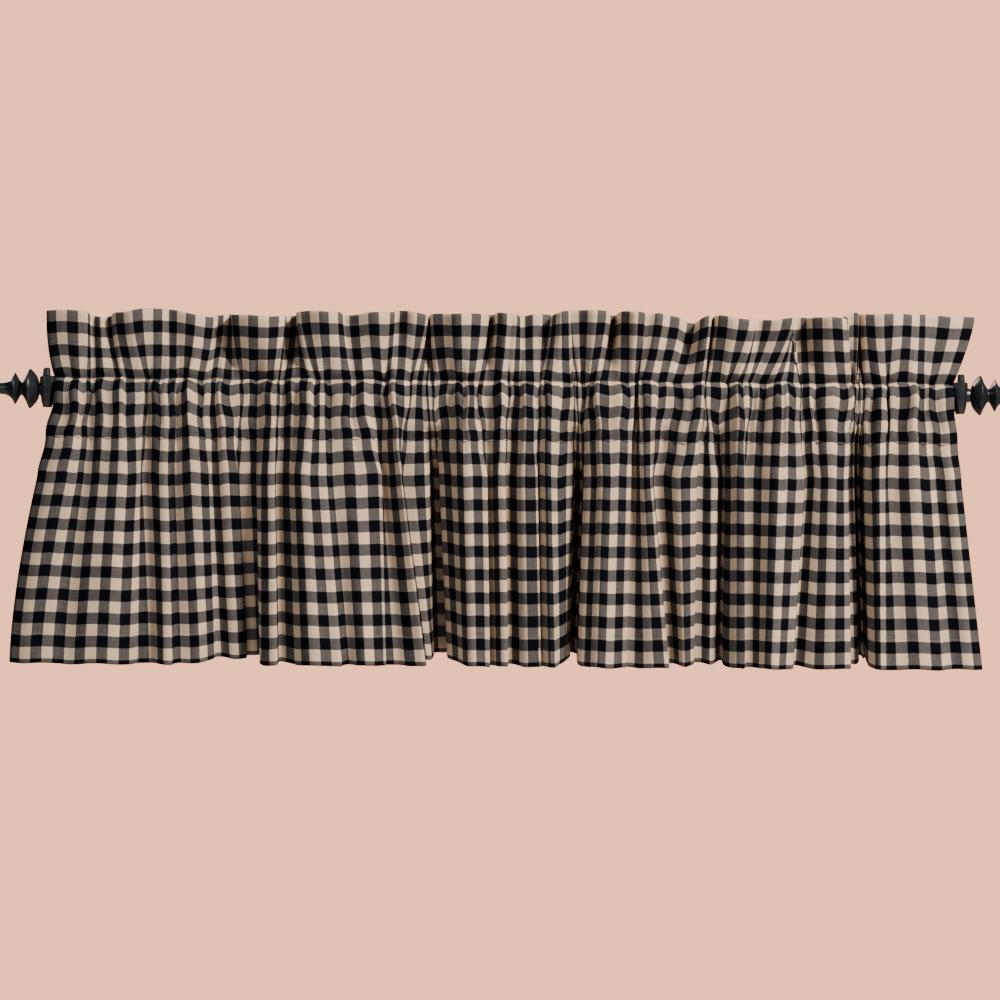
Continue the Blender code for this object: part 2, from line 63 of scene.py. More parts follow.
# Levels of the cloth from the rod's axis, and the flat cloth's length from the hem to each.
HEM_HEIGHT = -274.5
WAIST_HEIGHT = -88.0
LOWER_SEAM = -50.0
UPPER_SEAM = 10.6
HEM_TO_LOWER_SEAM = 226.0
HEM_TO_UPPER_SEAM = 295.3
HEM_TO_TOP = 363.5
HEM_DEPTH = 29.0
# Share of dark yarn seen where a dark stripe crosses light ground.
HALF_TONE = 0.91
# How far the weft's stripes are shifted along the cloth, and the softness of all stripes.
WEFT_SHIFT = 7.65
STRIPE_SOFTNESS = 0.014
STITCH_PITCH = 3.0
STITCH_HALF_WIDTH = 0.42
TAIL = 5.0

# Plumb lines from which the cloth's tables measure across.
HEM_PLUMB = -501.0
WAIST_PLUMB = -502.0
HEADING_PLUMB = -503.5

# The skirt's folds. Columns: check at which a face ends, check at which the next starts;
# then at the waist and at the hem: across where it ends, across where the next starts,
# how far out the face's edge stands and how far out the tuck behind it.
SKIRT_FOLDS = np.array((
    # ends, next, waist: ends next out back, hem: ends next out back
    (1.95, 2.35, 77, 80, 13, 5, 51, 60, 8, 6),
    (5.75, 6.75, 141, 146, 12, 2, 134, 154, 6, 4),
    (7.90, 8.30, 167, 170, 14, 3, 172, 176, 15, 1),
    (10.45, 11.00, 208, 210, 9, 0, 212, 219, -6, -12),
    (12.55, 13.70, 238, 242, 3, -2, 246, 249, -12, -15),
    (14.30, 15.00, 255, 261, -4, 6, 258, 261, -18, 6),
    (15.85, 16.75, 274, 277, 14, 0, 277, 280, 14, -3),
    (19.95, 20.35, 326, 328, 13, 4, 342, 346, 15, 2),
    (22.70, 23.70, 382, 385, 5, -3, 387, 398, 4, 1),
    (24.95, 26.60, 402, 404, 14, -3, 426, 428, 14, -9),
    (27.75, 28.45, 428, 432, -6, -24, 432, 436, -18, -27),
    (29.00, 29.80, 438, 440, -24, -6, 446, 449, -27, -10),
    (32.80, 33.70, 487, 489, 11, 0, 490, 493, 10, 1),
    (34.85, 35.90, 504, 507, 13, -3, 507, 510, 16, -4),
    (37.65, 38.60, 538, 541, 9, 3, 542, 544, 10, 5),
    (39.65, 39.98, 552, 556, 10, 2, 556, 559, 9, 0),
    (41.00, 42.10, 573, 577, -10, -24, 571, 573, -20, -28),
    (42.80, 43.70, 583, 586, -24, 2, 577, 579, -28, 2),
    (46.85, 47.80, 631, 634, 10, 2, 627, 630, 9, 3),
    (49.70, 50.70, 651, 657, 14, -3, 668, 671, 14, -7),
    (52.90, 53.80, 697, 699, 5, -4, 695, 698, -2, -8),
    (55.70, 56.30, 725, 728, -10, 2, 723, 726, -16, 3),
    (57.50, 58.70, 744, 747, 14, 1, 745, 748, 13, 0),
    (61.95, 62.90, 804, 806, 11, -2, 792, 794, 12, -4),
    (65.80, 66.80, 847, 850, 9, -4, 850, 853, 10, -8),
    (68.00, 70.30, 855, 858, -8, -20, 862, 865, -16, -26),
    (71.60, 72.70, 863, 867, -20, 2, 869, 872, -26, 3),
    (73.90, 74.50, 885, 887, 10, 4, 884, 896, 9, 7),
    (76.60, 77.10, 931, 937, 10, 6, 944, 954, 6, 4),
))
# The heading's folds at its top. Columns: the two checks; across: ends, next; out, back;
# height of the top edge where the face ends and where the next one starts.
HEADING_FOLDS = np.array((
    # ends, next, across: ends next, out, back, height: ends next
    (1.95, 2.90, 88, 91, 10, -2, 77, 71),
    (4.40, 4.90, 110, 113, -3, 6, 72, 75),
    (7.50, 7.95, 163, 167, 10, 4, 80, 79),
    (10.45, 10.92, 213, 214, 7, -4, 70, 73),
    (12.50, 13.15, 230, 232, -7, 9, 77, 73),
    (15.75, 17.00, 284, 288, 13, -8, 72, 75),
    (17.60, 18.90, 295, 298, -9, 6, 76, 78),
    (21.20, 21.70, 341, 342, 9, 0, 77, 74),
    (24.25, 24.90, 395, 397, 11, 3, 78, 79),
    (26.55, 28.10, 427, 428, 9, -9, 76, 75),
    (28.90, 29.92, 429, 430, -9, 6, 75, 76),
    (32.85, 33.35, 488, 491, 9, -6, 76, 77),
    (33.65, 33.95, 494, 496, -6, 8, 77, 78),
    (34.90, 35.90, 514, 515, 8, 8, 76, 76),
    (36.20, 36.80, 519, 521, 8, -4, 75, 76),
    (38.55, 39.25, 552, 553, -3, 5, 77, 77),
    (40.80, 42.80, 572, 574, 9, 8, 80, 80),
    (44.75, 45.25, 610, 612, 11, -10, 81, 75),
    (45.50, 45.95, 617, 620, -10, 5, 76, 82),
    (47.70, 48.70, 648, 649, 8, 8, 77, 77),
    (49.75, 49.95, 666, 668, 8, 3, 78, 77),
    (50.60, 50.90, 682, 685, 5, -5, 74, 70),
    (51.55, 51.95, 697, 699, -6, 4, 69, 74),
    (52.60, 53.60, 711, 713, 9, -9, 77, 77),
    (54.30, 54.95, 715, 717, -9, 4, 77, 77),
    (56.85, 57.70, 756, 758, 10, -2, 72, 73),
    (59.60, 61.35, 794, 796, 12, -8, 74, 74),
    (61.60, 62.90, 799, 801, -8, -6, 75, 76),
    (63.55, 63.95, 809, 811, -6, 4, 76, 76),
    (65.95, 66.95, 850, 852, 12, 12, 74, 80),
    (67.55, 69.30, 858, 859, 11, -9, 79, 79),
    (71.90, 72.80, 860, 861, -9, 6, 79, 79),
    (76.00, 76.50, 920, 925, 7, 3, 79, 79),
))
# The two side edges at each level: across, out and, for the heading, height.
WAIST_SIDES = ((36, 7), (960, 9))
HEM_SIDES = ((8, 3), (982, 5))
HEADING_SIDES = ((45, 3, 77), (974, 6, 76))

# How much further than in the tables the cloth stands out, and how much further back.
SKIRT_DEPTH = (1.25, 1.7)
HEADING_DEPTH = (1.25, 3.2)
# A face's cloth stands out in arches, each of about so many checks and at most so high.
ARCH_CHECKS = 2.7
ARCH_MOST = 12.0
ARCH_SHARE = 0.9
ARCH_UNEVEN = 0.28
# How far at most a tuck's cloth laps back behind the face's edge.
LAP_MOST = 11.0
# How soft the creases are, as the spread of a bell in checks.
CREASE_SOFTNESS = 0.12
HEADING_SOFTNESS = 0.17
GATHER_SOFTNESS = 0.26
HEIGHT_SOFTNESS = 0.3
# How much the hem is lifted where the cloth lies further back.
HEM_LIFT = 0.22
# The left side panel's width in checks, and how much sooner its cloth fans out.
SIDE_PANEL = 12.0
SKIRT_FLARE = 0.55
# How soon the heading fans out, how much sooner at the left edge and over how many checks.
HEADING_FLARE = 1.35
EDGE_FLARE = 1.1
EDGE_REACH = 3.0
# At the lower seam: share of the waist's spread, share of its folds, and how far out.
SEAM_SPREAD = 0.5
SEAM_FOLDS = 0.9
SEAM_OUT = 2.8
# Share of the waist's folds in the pocket and at the upper seam, which go back only so far.
POCKET_FOLDS = 0.85
UPPER_SEAM_FOLDS = 0.55
UPPER_SEAM_DEEPEST = -9.0
# How far the rod draws the gathers back, and the deepest fold that is left there.
ROD_DRAW = 3.0
ROD_DEEPEST = -14.0
# Swells between the upper seam's pinches: how far out, and how soon above the seam.
PINCH_SWELL = 4.0
PINCH_RISE = 0.09
HEADING_SWELL = 2.4
# Fine folds: how far out at the lower seam, how far they reach down and up the heading.
FINE_FOLDS = 1.5
FINE_REACH = 26.0
HEADING_FINE = 0.42
# How far apart the heading's front and back lie, and how far the tail lies behind.
HEADING_APART = 1.2
TAIL_BEHIND = 1.7
# How deep the stitches pull the cloth in, and how far the hem's second layer lifts it.
SEAM_DENT = 0.3
HEM_DENT = 0.35
HEM_STEP = 0.25
# How far the fold at the heading's top rises over the two layers.
FOLD_RISE = 0.9
# How far out from the rod's axis most of the cloth's faces lie.
FACES_OUT = 8.0

# At the rod, where each dark stripe begins and ends across. Those inside a tuck are thin.
ROD_STRIPES = np.array((
    # check, begins, ends
    (0, 52.6, 64), (1, 70.5, 79), (2, 86, 89.5), (3, 95, 103), (4, 114, 120),
    (5, 125, 135), (6, 144, 146), (7, 151, 161), (8, 168, 174), (9, 181, 187),
    (10, 197, 202), (11, 208.6, 214), (12, 221, 230), (13, 240, 241.5), (14, 247, 256),
    (15, 265, 271), (16, 276, 278), (17, 284, 291), (18, 300, 307), (19, 313, 320),
    (20, 323, 330), (21, 341, 349), (22, 354, 363), (23, 373, 381), (24, 384, 389),
    (25, 395, 404), (26, 408, 409), (27, 414, 422), (28, 426, 428), (29, 431, 432.5),
    (30, 437, 446), (31, 455, 462), (32, 467, 473), (33, 477, 481), (34, 493, 501),
    (35, 506, 508), (36, 511, 519), (37, 525, 532), (38, 538, 540), (39, 544, 550),
    (40, 560, 569), (41, 573, 574.5), (42, 576, 577.5), (43, 579, 584), (44, 587, 594),
    (45, 598, 607), (46, 620, 629), (47, 633, 634.5), (48, 636, 637.5), (49, 641, 650),
    (50, 655, 664), (51, 672, 682), (52, 692, 700), (53, 703, 704), (54, 705, 706),
    (55, 708, 719), (56, 725, 728), (57, 738, 743), (58, 748, 750), (59, 757, 764),
    (60, 771, 780), (61, 786, 794), (62, 798, 799), (63, 801, 810), (64, 815, 823),
    (65, 837, 846), (66, 851, 852.5), (68, 855, 856), (70, 858, 859), (72, 861, 863),
    (73, 870, 880), (74, 886, 888), (75, 897, 907), (76, 915, 923), (77, 927, 935),
    (78, 944, 953),
))
ROD_PLUMB = -502.6
ROD_SOFTNESS = 0.14

# The pocket's front from the lower seam over the rod, (out, height), and its back.
POCKET_FRONT = (
    (0.5, -48.5), (2.6, -38.0), (4.9, -24.0), (6.8, -11.0), (8.1, -2.5), (8.3, 1.5),
    (7.4, 5.0), (5.0, 7.9), (1.8, 9.4),
)
POCKET_BACK = (
    (0.2, 9.6), (-3.5, 9.2), (-7.0, 6.8), (-9.2, 3.0), (-9.6, -2.5), (-8.4, -11.0),
    (-6.0, -24.0), (-2.6, -38.0), (0.0, -48.5),
)

# Finials: (distance out from the base, radius)
FINIAL_PROFILE = (
    (0.0, 5.2), (0.6, 8.0), (1.6, 11.5), (4.0, 15.0), (7.0, 18.2), (9.4, 20.3),
    (10.4, 19.4), (12.8, 13.5), (16.2, 7.6), (17.6, 6.3), (19.2, 7.6), (21.6, 11.8),
    (24.1, 16.2), (24.9, 15.2), (26.6, 11.6), (29.6, 8.2), (34.0, 6.2), (40.0, 5.6),
    (48.0, 5.6),
)
KNOB_RADIUS = 12.0
ROD_LEFT_END = -465.2
ROD_RIGHT_END = 467.5
JOINT_GAP = 0.3

# The stage, in metres. The floor's sides are left, right, near and far.
FLOOR_LEVEL = -0.86
FLOOR_SIDES = (-1.9, 1.9, -1.6, 0.85)
VIEW_ACROSS = -0.003
VIEW_LEVEL = -0.1083
FRAME_WIDTH = 1.0
# The level at which the lamps aim, and the weak even light of the room.
AIM_LEVEL = -0.1
ROOM_LIGHT = (0.062, 0.074, 0.088)


# ------------------------------------------------------------------ settings


class ClothSettings(bpy.types.PropertyGroup):
    """Sizes and yarn colours of the check cloth."""

    check: bpy.props.FloatProperty(
        name="Check", description="Width of one dark and one light stripe together",
        default=0.0233, min=0.005, max=0.1, subtype="DISTANCE", unit="LENGTH")
    thickness: bpy.props.FloatProperty(
        name="Thickness", description="Thickness of one layer of the cloth",
        default=0.0008, min=0.0003, max=0.002, subtype="DISTANCE", unit="LENGTH")
    columns: bpy.props.IntProperty(
        name="Columns", description="Columns of the sheet's grid",
        default=470, min=100, max=600)
    black_yarn: bpy.props.FloatVectorProperty(
        name="Black yarn", description="Colour of the dark stripes",
        default=(0.0011, 0.0014, 0.0024), subtype="COLOR", size=3, min=0.0, max=1.0)
    tan_yarn: bpy.props.FloatVectorProperty(
        name="Tan yarn", description="Colour of the light stripes",
        default=(0.62, 0.463, 0.325), subtype="COLOR", size=3, min=0.0, max=1.0)


class PaintSettings(bpy.types.PropertyGroup):
    """The black paint of the rod, finials and brackets."""

    colour: bpy.props.FloatVectorProperty(
        name="Paint", description="Colour of the paint",
        default=(0.0045, 0.0058, 0.0075), subtype="COLOR", size=3, min=0.0, max=1.0)
    roughness: bpy.props.FloatProperty(
        name="Roughness", description="How dull the paint is",
        default=0.34, min=0.0, max=1.0, subtype="FACTOR")


class StageSettings(bpy.types.PropertyGroup):
    """The floor, light and camera."""

    backdrop: bpy.props.FloatVectorProperty(
        name="Backdrop", description="Colour behind the valance",
        default=(2.17, 0.99, 0.567), subtype="COLOR", size=3, min=0.0, max=4.0)
    camera_distance: bpy.props.FloatProperty(
        name="Camera distance", description="From the camera to the cloth",
        default=3.5, min=1.0, max=10.0, subtype="DISTANCE", unit="LENGTH")
    roll: bpy.props.FloatProperty(
        name="Roll", description="Turn of the camera about its view",
        default=math.radians(-0.43), subtype="ANGLE", unit="ROTATION")


class ValanceSettings(bpy.types.PropertyGroup):
    """Everything a user would change."""

    cloth: bpy.props.PointerProperty(
        name="Cloth", description="The check cloth", type=ClothSettings)
    paint: bpy.props.PointerProperty(
        name="Paint", description="The black paint", type=PaintSettings)
    stage: bpy.props.PointerProperty(
        name="Stage", description="Floor, light and camera", type=StageSettings)


# ------------------------------------------------------------------ shader nodes


class Wire:
    """A node's output that takes part in arithmetic; each operation adds a Math node."""

    def __init__(self, graph, socket):
        self.graph = graph
        self.socket = socket

    def math(self, operation, *values):
        return self.graph.math(operation, self, *values)

    def __add__(self, other):
        return self.math("ADD", other)

    __radd__ = __add__

    def __sub__(self, other):
        return self.math("SUBTRACT", other)

    def __rsub__(self, other):
        return self.graph.math("SUBTRACT", other, self)

    def __mul__(self, other):
        return self.math("MULTIPLY", other)

    __rmul__ = __mul__

    def __truediv__(self, other):
        return self.math("DIVIDE", other)

    def __rtruediv__(self, other):
        return self.graph.math("DIVIDE", other, self)

    def __abs__(self):
        return self.math("ABSOLUTE")

    def fraction(self):
        """What is over the last whole number."""
        return self.math("FRACT")

    def sine(self):
        return self.math("SINE")

    def below(self, limit, softness):
        """1 where the value is under the limit, 0 above it, with a soft step."""
        return self.graph.node(
            "ShaderNodeMapRange",
            {"interpolation_type": "SMOOTHSTEP", "clamp": True},
            {0: self, 1: limit - softness, 2: limit + softness, 3: 1.0, 4: 0.0})


class Graph:
    """The node tree of a new material."""

    def __init__(self, name):
        self.material = bpy.data.materials.new(name)
        self.material.use_nodes = True
        self.tree = self.material.node_tree
        self.shader = self.tree.nodes["Principled BSDF"]

    def node(self, kind, settings=None, sockets=None, output=0):
        """A node with its settings and the values or links of its sockets."""
        made = self.tree.nodes.new(kind)
        for name, value in (settings or {}).items():
            setattr(made, name, value)
        for name, value in (sockets or {}).items():
            self.join(made.inputs[name], value)
        return Wire(self, made.outputs[output])

    def join(self, socket, value):
        """Link a wire to the socket, or set the socket's own value."""
        if isinstance(value, Wire):
            self.tree.links.new(value.socket, socket)
        else:
            socket.default_value = value

    def math(self, operation, *values):
        """A Math node on the values."""
        return self.node(
            "ShaderNodeMath", {"operation": operation}, dict(enumerate(values)))

    def colour_mix(self, share, first, second):
        """From the first colour to the second by share."""
        return self.node(
            "ShaderNodeMix", {"data_type": "RGBA", "clamp_factor": True},
            {0: share, 6: first, 7: second}, 2)

    def streaks(self, place, scale, detail=2.0, roughness=0.6):
        """Noise from 0 to 1 at a place given in three wires or numbers."""
        spot = self.node(
            "ShaderNodeCombineXYZ", None, {0: place[0], 1: place[1], 2: place[2]})
        return self.node(
            "ShaderNodeTexNoise", {"noise_dimensions": "3D"},
            {"Vector": spot, "Scale": scale, "Detail": detail, "Roughness": roughness})

    def finish(self, colour, roughness, bump=None, distance=0.0, strength=1.0, **constants):
        """Join what changes over the surface and set what doesn't."""
        self.join(self.shader.inputs["Base Color"], colour)
        self.join(self.shader.inputs["Roughness"], roughness)
        if bump is not None:
            normal = self.node(
                "ShaderNodeBump", None,
                {"Strength": strength, "Distance": distance, "Height": bump})
            self.join(self.shader.inputs["Normal"], normal)
        for name, value in constants.items():
            self.shader.inputs[name.replace("_", " ")].default_value = value
        return self.material


def opaque(colour):
    """A colour with full alpha."""
    return (colour[0], colour[1], colour[2], 1.0)


def woven_check(cloth):
    """Check cloth woven from black and tan yarn, drawn on the sheet's own flat measure.
    """
    graph = Graph("woven_check")
    check = cloth.check / MM
    flat = graph.node("ShaderNodeUVMap", {"uv_map": "flat"})
    split = graph.node("ShaderNodeSeparateXYZ", None, {0: flat})
    across = split * (1 / MM)
    along = Wire(graph, split.socket.node.outputs[1]) * (1 / MM)

    def dark(distance, shift, seed):
        """1 on the dark stripes of one yarn, whose edges wander a little."""
        wander = graph.streaks((across * 0.35, along * 0.35, seed), 1.0) - 0.5
        place = (distance + wander * 0.9 + shift) / check + 0.25
        return abs(place.fraction() - 0.5).below(0.25, STRIPE_SOFTNESS)

    warp = dark(across, 0.0, 3.0)
    weft = dark(along, WEFT_SHIFT, 9.0)
    warp_streak = graph.streaks((across * 1.3, along * 0.045, 1.0), 1.0, 3.0, 0.7)
    weft_streak = graph.streaks((across * 0.05, along * 1.5, 5.0), 1.0, 3.0, 0.7)
    cloud = graph.streaks((across * 0.012, along * 0.012, 7.0), 1.0, 2.0, 0.5)

    # Where one stripe crosses light ground the dark yarn shows more than the light one,
    # streaked along both yarns; where two dark stripes cross, hardly any light shows.
    black = opaque(cloth.black_yarn)
    tan = opaque(cloth.tan_yarn)
    dull = opaque([value * 0.66 for value in cloth.tan_yarn])
    slate = opaque([value * 2.6 for value in cloth.black_yarn])
    light = graph.colour_mix(
        warp_streak * 0.6 + weft_streak * 0.6 + cloud * 1.4 - 0.8, dull, tan)
    dark_yarn = graph.colour_mix(warp_streak, black, slate)
    fleck = (warp_streak - 0.5) * 0.30 + (weft_streak - 0.5) * 0.30
    crossed = graph.math("MAXIMUM", warp, weft)
    blend = graph.colour_mix(fleck + HALF_TONE, light, opaque((0.022, 0.030, 0.040)))
    shade = graph.colour_mix(crossed, light, blend)
    shade = graph.colour_mix(warp * weft, shade, dark_yarn)

    stitch = 0.0
    for line in (HEM_DEPTH, HEM_TO_UPPER_SEAM - 0.6):
        near = abs(along - line).below(STITCH_HALF_WIDTH, 0.12)
        dash = abs((across / STITCH_PITCH).fraction() - 0.5).below(0.33, 0.05)
        stitch = near * dash + stitch
    thread = opaque((0.20, 0.165, 0.125))
    colour = graph.colour_mix(stitch * 0.3, shade, thread)

    # Plain weave: crossing waves of the two yarns, with the streaks as slubs.
    pitch = 0.62
    turn = 2 * math.pi / pitch
    weave = (across * (turn / 2)).sine() * (along * (turn / 2)).sine()
    height = weave * 0.35 + (warp_streak + weft_streak) * 0.5 + stitch * 0.8
    rough = 0.80 + warp_streak * 0.12
    return graph.finish(
        colour, rough, height, 0.00016, 0.7, Specular_IOR_Level=0.015)


def black_paint(name, paint, grain):
    """Satin black paint over turned wood or cast metal, uneven as a brush leaves it.

    Three noises on object coordinates: broad clouds and fine specks for the roughness and
    the colour, and lines along the grain for the bump.
    """
    graph = Graph(name)
    spot = graph.node("ShaderNodeTexCoord", None, None, 3)
    split = graph.node("ShaderNodeSeparateXYZ", None, {0: spot})
    x = split * (1 / MM)
    y = Wire(graph, split.socket.node.outputs[1]) * (1 / MM)
    z = Wire(graph, split.socket.node.outputs[2]) * (1 / MM)
    cloud = graph.streaks((x * 0.09, y * 0.09, z * 0.09), 1.0, 3.0)
    speck = graph.streaks((x * 0.9, y * 0.9, z * 0.9), 1.0, 4.0, 0.7)
    brush = graph.streaks((x * grain[0], y * grain[1], z * grain[2]), 1.0, 3.0, 0.7)
    dark = opaque(paint.colour)
    worn = opaque([value * 2.4 + 0.002 for value in paint.colour])
    colour = graph.colour_mix(cloud * 0.45 + speck * 0.18, dark, worn)
    rough = (cloud - 0.5) * 0.22 + (speck - 0.5) * 0.12 + paint.roughness
    height = brush * 0.7 + speck * 0.3
    return graph.finish(
        colour, rough, height, 0.00022, 0.6, Specular_IOR_Level=0.35, Coat_Weight=0.10,
        Coat_Roughness=0.28)


# ------------------------------------------------------------------ meshes


def grid_faces(rows, columns, first=0, wrap=False):
    """Quads of a grid of points numbered row by row, the last column joined on if asked."""
    row, column = np.meshgrid(
        np.arange(rows - 1), np.arange(columns if wrap else columns - 1), indexing="ij")
    here = first + row * columns + column
    beside = first + row * columns + (column + 1) % columns
    return np.stack(
        (here, beside, beside + columns, here + columns), axis=-1).reshape(-1, 4)


def make_piece(name, points, quads, material, flat=None, caps=()):
    """One object at the origin from points in millimetres, quads and end caps."""
    mesh = bpy.data.meshes.new(name)
    mesh.from_pydata(
        (points * MM).tolist(), [], quads.tolist() + [list(cap) for cap in caps])
    mesh.shade_smooth()
    mesh.materials.append(material)
    if flat is not None:
        corners = np.empty(len(mesh.loops), dtype=np.int32)
        mesh.loops.foreach_get("vertex_index", corners)
        layer = mesh.uv_layers.new(name="flat")
        layer.uv.foreach_set("vector", (flat[corners] * MM).astype(np.float32).ravel())
    if mesh.validate():
        raise RuntimeError(name + " has a broken mesh")
    made = bpy.data.objects.new(name, mesh)
    bpy.context.scene.collection.objects.link(made)
    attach(made, "root")
    return made


# ------------------------------------------------------------------ the cloth's form


def arched_face(start, end, arches, check):
    """A face of cloth from one crease to the next, as (check, across, out) columns.

    Its cloth is longer than the straight way across, so it stands out in arches: across
    and out run straight from start to end, plus the height times the squared sine of the
    arch count times half a turn. The height is the one that uses up the cloth, and the
    checks are spread evenly along the curved line.
    """
    cloth = (end[0] - start[0]) * check
    chord = math.hypot(end[1] - start[1], end[2] - start[2])
    fullness = max(cloth / chord, 1.01)
    steepness = math.sqrt(2 * (fullness ** 2 - 1))
    height = min(ARCH_SHARE * steepness * chord / (math.pi * arches), ARCH_MOST)
    share = np.linspace(0.0, 1.0, 10 * arches + 1)
    across = start[1] + share * (end[1] - start[1])
    uneven = 1 + ARCH_UNEVEN * np.cos(2.4 * (start[0] + share * (end[0] - start[0])))
    out = start[2] + share * (end[2] - start[2])
    out = out + height * uneven * np.sin(np.pi * arches * share) ** 2
    length = np.concatenate(([0.0], np.cumsum(np.hypot(np.diff(across), np.diff(out)))))
    checks = start[0] + length / length[-1] * (end[0] - start[0])
    return np.stack((checks, across, out))


def fold_creases(rows, sides, first, check, deepened):
    """One level of the cloth as columns (check, across, out), fold after fold.

    Each fold gives an arched face, the foot of the tuck behind its edge and the start of
    the next face. What a tuck's depth and open width leave over of its cloth laps back
    behind the edge.
    """
    start = (0.0, float(sides[0][0]), float(sides[0][1]))
    points = [np.array(start)[:, None]]
    for row in rows:
        ends, starts = row[0], row[1]
        edge, after, out, back = row[first:first + 4]
        out, back = (value * deepened[int(value < 0)] for value in (out, back))
        arches = max(1, round((ends - start[0]) / ARCH_CHECKS))
        face = arched_face(start, (ends, edge, out), arches, check)
        width = after - edge
        depth = abs(out - back)
        spare = (starts - ends) * check - width
        lap = 0.0
        if spare > depth:
            lap = min((spare ** 2 - depth ** 2) / (2 * spare), LAP_MOST)
        side = math.hypot(lap, depth)
        foot = ends + (starts - ends) * side / (side + lap + width)
        start = (starts, after, back)
        points += [face[:, 1:], np.array([[foot], [edge - lap], [back]]),
                   np.array(start)[:, None]]
    arches = max(1, round((CHECKS_ACROSS - start[0]) / ARCH_CHECKS))
    last = (CHECKS_ACROSS, float(sides[1][0]), float(sides[1][1]))
    points.append(arched_face(start, last, arches, check)[:, 1:])
    return np.concatenate(points, axis=1)


def softened(checks, line, values, softness):
    """Values along a crease line, averaged over a bell with the given spread in checks."""
    reach = 6.0
    start = (values[1] - values[0]) / (line[1] - line[0])
    end = (values[-1] - values[-2]) / (line[-1] - line[-2])
    knots = np.concatenate(([line[0] - reach], line, [line[-1] + reach]))
    levels = np.concatenate(([values[0] - reach * start], values, [values[-1] + reach * end]))
    steps = np.linspace(-2.2, 2.2, 23)
    weights = np.exp(-steps ** 2 / 2)
    places = checks[None, :] + steps[:, None] * softness
    return (weights[:, None] * np.interp(places, knots, levels)).sum(axis=0) / weights.sum()


def level_section(checks, creases, plumb, softness):
    """Across and out of the cloth at one level."""
    across = softened(checks, creases[0], creases[1], softness) + plumb
    out = softened(checks, creases[0], creases[2], softness)
    return across, out


def gathers(checks, period, seed):
    """Uneven waves from -1 to 1: a sine whose phase and size wander with two others."""
    phase = 2 * np.pi * checks / period
    phase = phase + 1.5 * np.sin(checks / 2.3 + seed) + 0.9 * np.sin(checks / 5.1 + 2 * seed)
    size = 0.72 + 0.28 * np.sin(checks / 1.7 + 1.0 + seed)
    return np.sin(phase) * size


def pinched(checks):
    """Gathers drawn in by a stitch line: round swells from sharp dips, -0.6 to 0.5."""
    phase = np.pi * checks / 1.45
    phase = phase + 0.9 * np.sin(checks / 2.1) + 0.5 * np.sin(checks / 0.83 + 1.0)
    size = 0.75 + 0.25 * np.sin(checks / 1.3 + 2.0)
    return (np.sqrt(np.abs(np.sin(phase)) + 0.02) - 0.65) * size


def ease(value):
    """Smooth step from 0 to 1."""
    value = np.clip(value, 0.0, 1.0)
    return value * value * (3 - 2 * value)


def bump_at(value, centre, spread):
    """A bell of height 1."""
    return np.exp(-((value - centre) / spread) ** 2)


def along_profile(profile, count):
    """Evenly spaced points and outward normals of a smooth profile (out, height).

    The corners are cut twice by taking points a quarter and three quarters along each leg,
    then the line is measured and divided evenly.
    """
    line = np.array(profile)
    for _ in range(2):
        near = line[:-1] * 0.75 + line[1:] * 0.25
        far = line[:-1] * 0.25 + line[1:] * 0.75
        inner = np.stack((near, far), axis=1).reshape(-1, 2)
        line = np.concatenate((line[:1], inner[1:-1], line[-1:]))
    length = np.concatenate(([0.0], np.cumsum(np.hypot(*np.diff(line, axis=0).T))))
    places = np.linspace(0, length[-1], count)
    out = np.interp(places, length, line[:, 0])
    height = np.interp(places, length, line[:, 1])
    step_out, step_height = np.gradient(out), np.gradient(height)
    size = np.hypot(step_out, step_height)
    return out, height, step_height / size, -step_out / size


